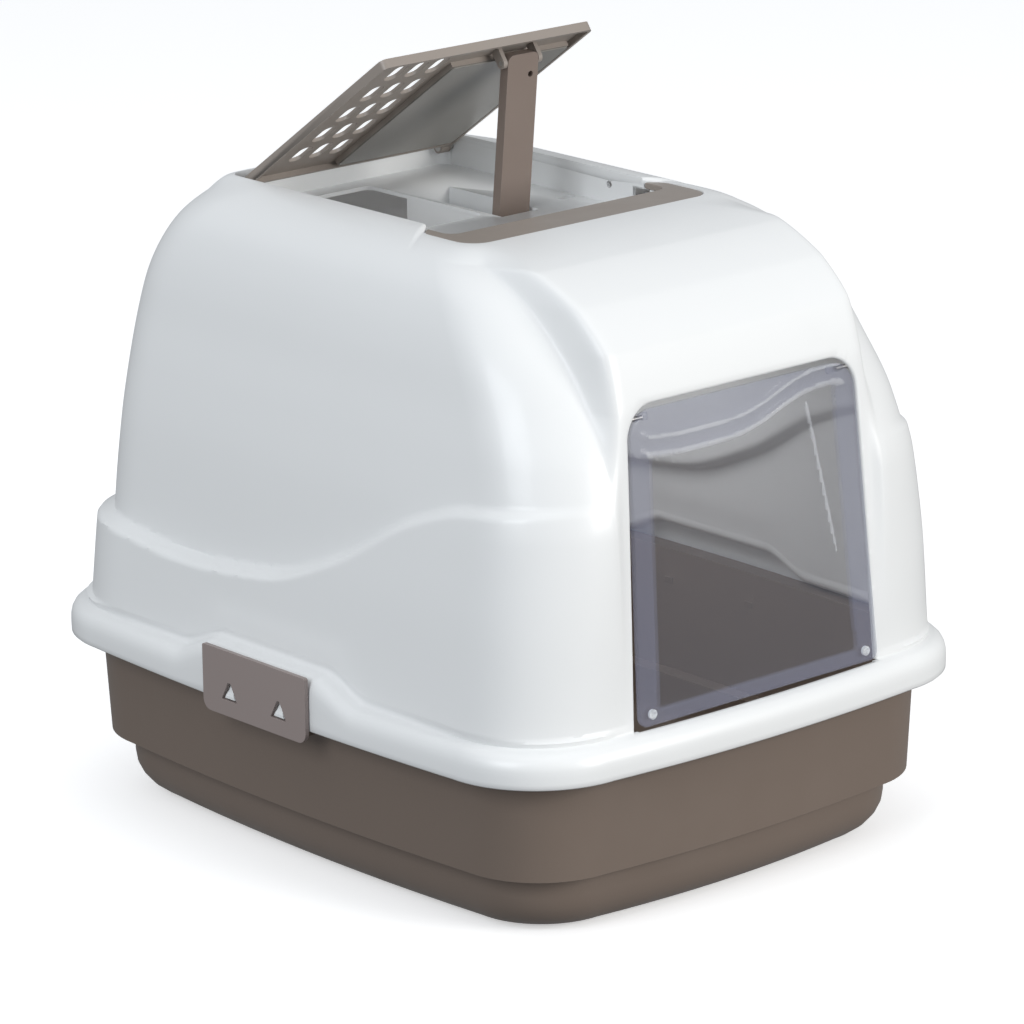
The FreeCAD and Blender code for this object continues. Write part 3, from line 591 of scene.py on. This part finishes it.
# The walls of the well stop just under the skin's lip
hood_deck = from_cad("hood", "hood_deck", in_well)
for vertex in hood_deck.data.vertices:
    vertex.co.z = min(vertex.co.z, WELL_WALL_TOP * MM)
dress(hood_deck, hood_white, "hood_plastic", "base", "hood")
dress(from_cad("hood", "hood_lugs", on_lug), hood_white, "hood_plastic", "base", "hood")


# ---------------------------------------------------------------- door flap
def flap_half(z):
    return door_half(z) - FLAP_GAP


def flap_outline(count):
    """Points round the flap's edge: tapered sides, round top corners, small low corners."""
    top_radius, low_radius = DOOR_CORNER - 2.0, 6.0
    corners = []
    for x_sign, z, radius, start in ((1, FLAP_LOW_Z, low_radius, -90.0), (1, FLAP_TOP_Z, top_radius, 0.0),
                                     (-1, FLAP_TOP_Z, top_radius, 90.0), (-1, FLAP_LOW_Z, low_radius, 180.0)):
        centre_z = z + radius if z == FLAP_LOW_Z else z - radius
        centre_x = x_sign * (flap_half(centre_z) - radius)
        for turn in np.linspace(0.0, 90.0, 19):
            a = math.radians(start + turn)
            corners.append((centre_x + radius * math.cos(a), centre_z + radius * math.sin(a)))
    corners.append(corners[0])
    corners = np.array(corners)
    run = np.concatenate(((0.0,), np.cumsum(np.hypot(*np.diff(corners, axis=0).T))))
    at = np.linspace(0.0, run[-1], count, endpoint=False)
    return np.stack([np.interp(at, run, corners[:, k]) for k in (0, 1)], axis=1)


# Lower line of the moulding across the flap's top: position, height
MOULDING = np.array(((-92.0, 293.0), (-75.0, 290.5), (-45.0, 288.5), (-10.0, 289.5), (15.0, 294.5),
                     (32.0, 300.5), (54.0, 306.0), (70.0, 307.0), (92.0, 304.0)))


def moulding_line(x):
    """Height of the moulding's lower line."""
    return cubic(MOULDING, x)[..., 0]


def flap_zone(x, z):
    """One on the flap's thicker border and top, none on its window."""
    side = flap_half(z) - np.abs(x)
    border = smoothstep((18.0 - side) / 3.0)
    low = smoothstep((FLAP_LOW_Z + 11.0 - z) / 3.0)
    return np.maximum(np.maximum(border, low), smoothstep((z - moulding_line(x)) / 3.5))


def flap_ridges(x, z):
    """The two wavy ridges of the moulding and the rib beside the window."""
    line = moulding_line(x)
    ridges = np.exp(-((z - line - 3.0) / 3.2) ** 2) + 0.8 * np.exp(-((z - line - 14.0) / 3.0) ** 2)
    ridges = ridges * smoothstep((flap_half(z) - np.abs(x) - 5.0) / 8.0)
    rib_x = 53.0 + (293.0 - z) * 0.19
    rib = np.exp(-((x - rib_x) / 1.5) ** 2) * smoothstep((z - 185.0) / 40.0)
    rib = rib * smoothstep((line - 2.0 - z) / 4.0)
    return ridges, rib


def flap_relief(x, z):
    """How far the flap's outer face stands out: a border, a wavy moulding and a rib."""
    ridges, rib = flap_ridges(x, z)
    return 1.6 * flap_zone(x, z) + 2.2 * ridges + 1.2 * rib


def lean(points):
    """Turn points of the upright flap about its axis to the rest angle."""
    a = math.radians(-FLAP_LEAN)
    dy, dz = points[:, 1] - FLAP_AXIS_Y, points[:, 2] - FLAP_AXIS_Z
    return np.column_stack((points[:, 0], FLAP_AXIS_Y + math.cos(a) * dy - math.sin(a) * dz,
                            FLAP_AXIS_Z + math.sin(a) * dy + math.cos(a) * dz))


def make_flap():
    """The door: clear window, thicker border, raised ridges and the knuckles behind its top."""
    around, steps = 420, 72
    outline = flap_outline(around)
    centre = np.array((0.0, (FLAP_LOW_Z + FLAP_TOP_Z) / 2.0))
    share = np.concatenate((np.linspace(0.02, 0.985, steps), (0.992, 0.997, 1.0)))
    rows = centre + share[:, None, None] * (outline[None, :, :] - centre)
    relief = flap_relief(rows[..., 0], rows[..., 1])
    relief[-3:] -= np.array((0.1, 0.35, 0.9))[:, None]
    front = np.stack((rows[..., 0], FLAP_FACE_Y - relief, rows[..., 1]), axis=-1).reshape(-1, 3)
    flat = np.full(rows[..., 0].shape, FLAP_FACE_Y + FLAP_THICKNESS)
    flat[-1] -= 0.7
    back = np.stack((rows[..., 0], flat, rows[..., 1]), axis=-1).reshape(-1, 3)
    count = len(share)
    total = count * around
    faces = [f[::-1] for f in grid_faces(count, around, True)]
    faces += grid_faces(count, around, True, total)
    rim = (count - 1) * around
    for j in range(around):
        k = (j + 1) % around
        faces.append((rim + j, rim + k, total + rim + k, total + rim + j))
    faces.append(tuple(range(around)))
    faces.append(tuple(total + j for j in range(around - 1, -1, -1)))
    points = np.vstack((front, back))
    # The raised ridges and the rib take the paler smoke, a painted highlight along the moulding's folds
    pane, border, raised = [], [], []
    for face in faces:
        x, y, z = points[list(face)].mean(axis=0)
        ridges, rib = flap_ridges(x, z)
        if y < FLAP_FACE_Y and max(ridges - 0.2, rib) > 0.5:
            raised.append(face)
        else:
            (border if flap_zone(x, z) > 0.5 else pane).append(face)
    for name, part, material in (("door_window", pane, smoke_clear), ("door_border", border, smoke_dark),
                                 ("door_ridges", raised, smoke_painted_highlight)):
        used = sorted({k for face in part for k in face})
        place = {k: n for n, k in enumerate(used)}
        obj = add_mesh(name, lean(points[used]), [tuple(place[k] for k in face) for face in part])
        work = bmesh.new()
        work.from_mesh(obj.data)
        bmesh.ops.recalc_face_normals(work, faces=work.faces)
        work.to_mesh(obj.data)
        work.free()
        smooth(obj, 50.0)
        dress(obj, material, "clear_plastic", "door", "door_flap")
    knuckles = from_cad("door_flap", "door_knuckles", on_knuckle)
    dress(knuckles, smoke_dark, "clear_plastic", "door", "door_flap")


make_flap()


# ---------------------------------------------------------------- pieces kept close to the CAD
# CAD node, name, material, slot, body, width of the softened edges
SOFT = (
    ("tray", "tray_body", tray_taupe, "tray_plastic", "base", 0.9),
    ("roof_frame", "roof_trim", trim_taupe, "trim_plastic", "base", 0.8),
    ("hatch_lid", "hatch_panel", trim_taupe, "trim_plastic", "hatch", 0.5),
    ("filter_cover", "filter_lid", cover_grey, "cover_plastic", "hatch", 0.4),
    ("hatch_prop", "prop_bar", prop_taupe, "prop_plastic", "prop", 0.8),
    ("clip_left", "latch_left", clip_taupe, "clip_plastic", "clip_left", 0.6),
    ("clip_right", "latch_right", clip_taupe, "clip_plastic", "clip_right", 0.6),
)
for node, name, material, slot, body, width in SOFT:
    piece = from_cad(node, name)
    bevelled(piece, width)
    dress(piece, material, slot, body, node)

PLAIN = (
    ("filter_pad", carbon),
    ("door_bumpers", stud_white),
    ("hatch_hinge_pins", pin_steel),
    ("prop_pin", pin_steel),
    ("door_hinge_pins", pin_steel),
    ("clip_pin_left", pin_steel),
    ("clip_pin_right", pin_steel),
)
for node, material in PLAIN:
    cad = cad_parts[node]
    cad.data.materials.clear()
    cad.data.materials.append(material)

# ---------------------------------------------------------------- floor, light and camera
floor_mesh = bpy.data.meshes.new("floor")
floor_mesh.from_pydata([(-14, -14, 0), (14, -14, 0), (14, 14, 0), (-14, 14, 0)], [], [(0, 1, 2, 3)])
floor = bpy.data.objects.new("floor", floor_mesh)
scene.collection.objects.link(floor)
floor.location.z = -0.0004
floor_paint = bpy.data.materials.new("floor paint")
floor_paint.use_nodes = True
floor_shader = floor_paint.node_tree.nodes["Principled BSDF"]
floor_shader.inputs["Base Color"].default_value = (0.93, 0.93, 0.93, 1.0)
floor_shader.inputs["Roughness"].default_value = 0.9
floor_shader.inputs["Emission Color"].default_value = (1.0, 1.0, 1.0, 1.0)
floor_shader.inputs["Emission Strength"].default_value = 0.42
# The floor shows and takes the shadow, and casts no light back up
floor.visible_diffuse = False
floor.visible_glossy = False
floor_mesh.materials.append(floor_paint)

world = bpy.data.worlds.new("studio")
world.use_nodes = True
sky = world.node_tree
background = sky.nodes["Background"]
direction = sky.nodes.new("ShaderNodeTexCoord")
split = sky.nodes.new("ShaderNodeSeparateXYZ")
height = sky.nodes.new("ShaderNodeMapRange")
height.inputs["From Min"].default_value = -0.35
height.inputs["From Max"].default_value = 0.9
height.inputs["To Min"].default_value = 0.26
height.inputs["To Max"].default_value = 0.58
sky.links.new(direction.outputs["Generated"], split.inputs[0])
sky.links.new(split.outputs["Z"], height.inputs["Value"])
sky.links.new(height.outputs["Result"], background.inputs["Strength"])
background.inputs["Color"].default_value = (0.93, 0.96, 1.0, 1.0)
scene.world = world


def area_light(name, place, target, size, power, colour):
    """Rectangular light at a place in metres, turned to its target, with its power in watts."""
    data = bpy.data.lights.new(name, "AREA")
    data.shape = "RECTANGLE"
    data.size, data.size_y = size
    data.energy = power
    data.color = colour
    obj = bpy.data.objects.new(name, data)
    scene.collection.objects.link(obj)
    obj.location = place
    obj.rotation_mode = "QUATERNION"
    obj.rotation_quaternion = (Vector(target) - Vector(place)).to_track_quat("-Z", "Y")
    return obj


area_light("key", (0.9, -2.9, 1.0), (0.0, 0.0, 0.2), (1.5, 1.5), 64.0, (1.0, 0.985, 0.96))
area_light("ceiling", (-0.4, 0.2, 2.4), (0.0, 0.0, 0.3), (2.6, 2.6), 9.0, (1.0, 1.0, 1.0))
area_light("left window", (-2.6, -0.6, 1.55), (0.0, 0.0, 0.25), (1.4, 1.6), 36.0, (0.92, 0.96, 1.0))
area_light("light through the hood", (0.0, 0.02, 0.345), (0.0, 0.02, 0.0), (0.16, 0.2), 0.36,
           (0.97, 0.98, 1.0))

CAMERA_AZIMUTH = -41.11
CAMERA_ELEVATION = 16.46
CAMERA_ROLL = -0.76
CAMERA_LENS = 191.45
CAMERA_DISTANCE = 3.4469
AIM_HEIGHT = 0.19525
AIM_SIDE = 0.00699


def add_camera():
    azimuth, elevation, roll = (math.radians(v) for v in (CAMERA_AZIMUTH, CAMERA_ELEVATION, CAMERA_ROLL))
    back = Vector((math.sin(azimuth) * math.cos(elevation), -math.cos(azimuth) * math.cos(elevation),
                   math.sin(elevation)))
    right = (-back).cross(Vector((0, 0, 1))).normalized()
    up = right.cross(-back)
    aim = Vector((0.0, 0.0, AIM_HEIGHT)) + right * AIM_SIDE
    rolled_right = right * math.cos(roll) + up * math.sin(roll)
    rolled_up = up * math.cos(roll) - right * math.sin(roll)
    data = bpy.data.cameras.new("camera")
    data.lens = CAMERA_LENS
    data.sensor_width = 36.0
    data.clip_start = 0.05
    data.clip_end = 60.0
    camera = bpy.data.objects.new("camera", data)
    scene.collection.objects.link(camera)
    turn = Matrix((rolled_right, rolled_up, back)).transposed().to_4x4()
    camera.matrix_world = Matrix.Translation(aim + back * CAMERA_DISTANCE) @ turn
    scene.camera = camera


add_camera()
scene.view_settings.view_transform = "Standard"
scene.view_settings.look = "None"
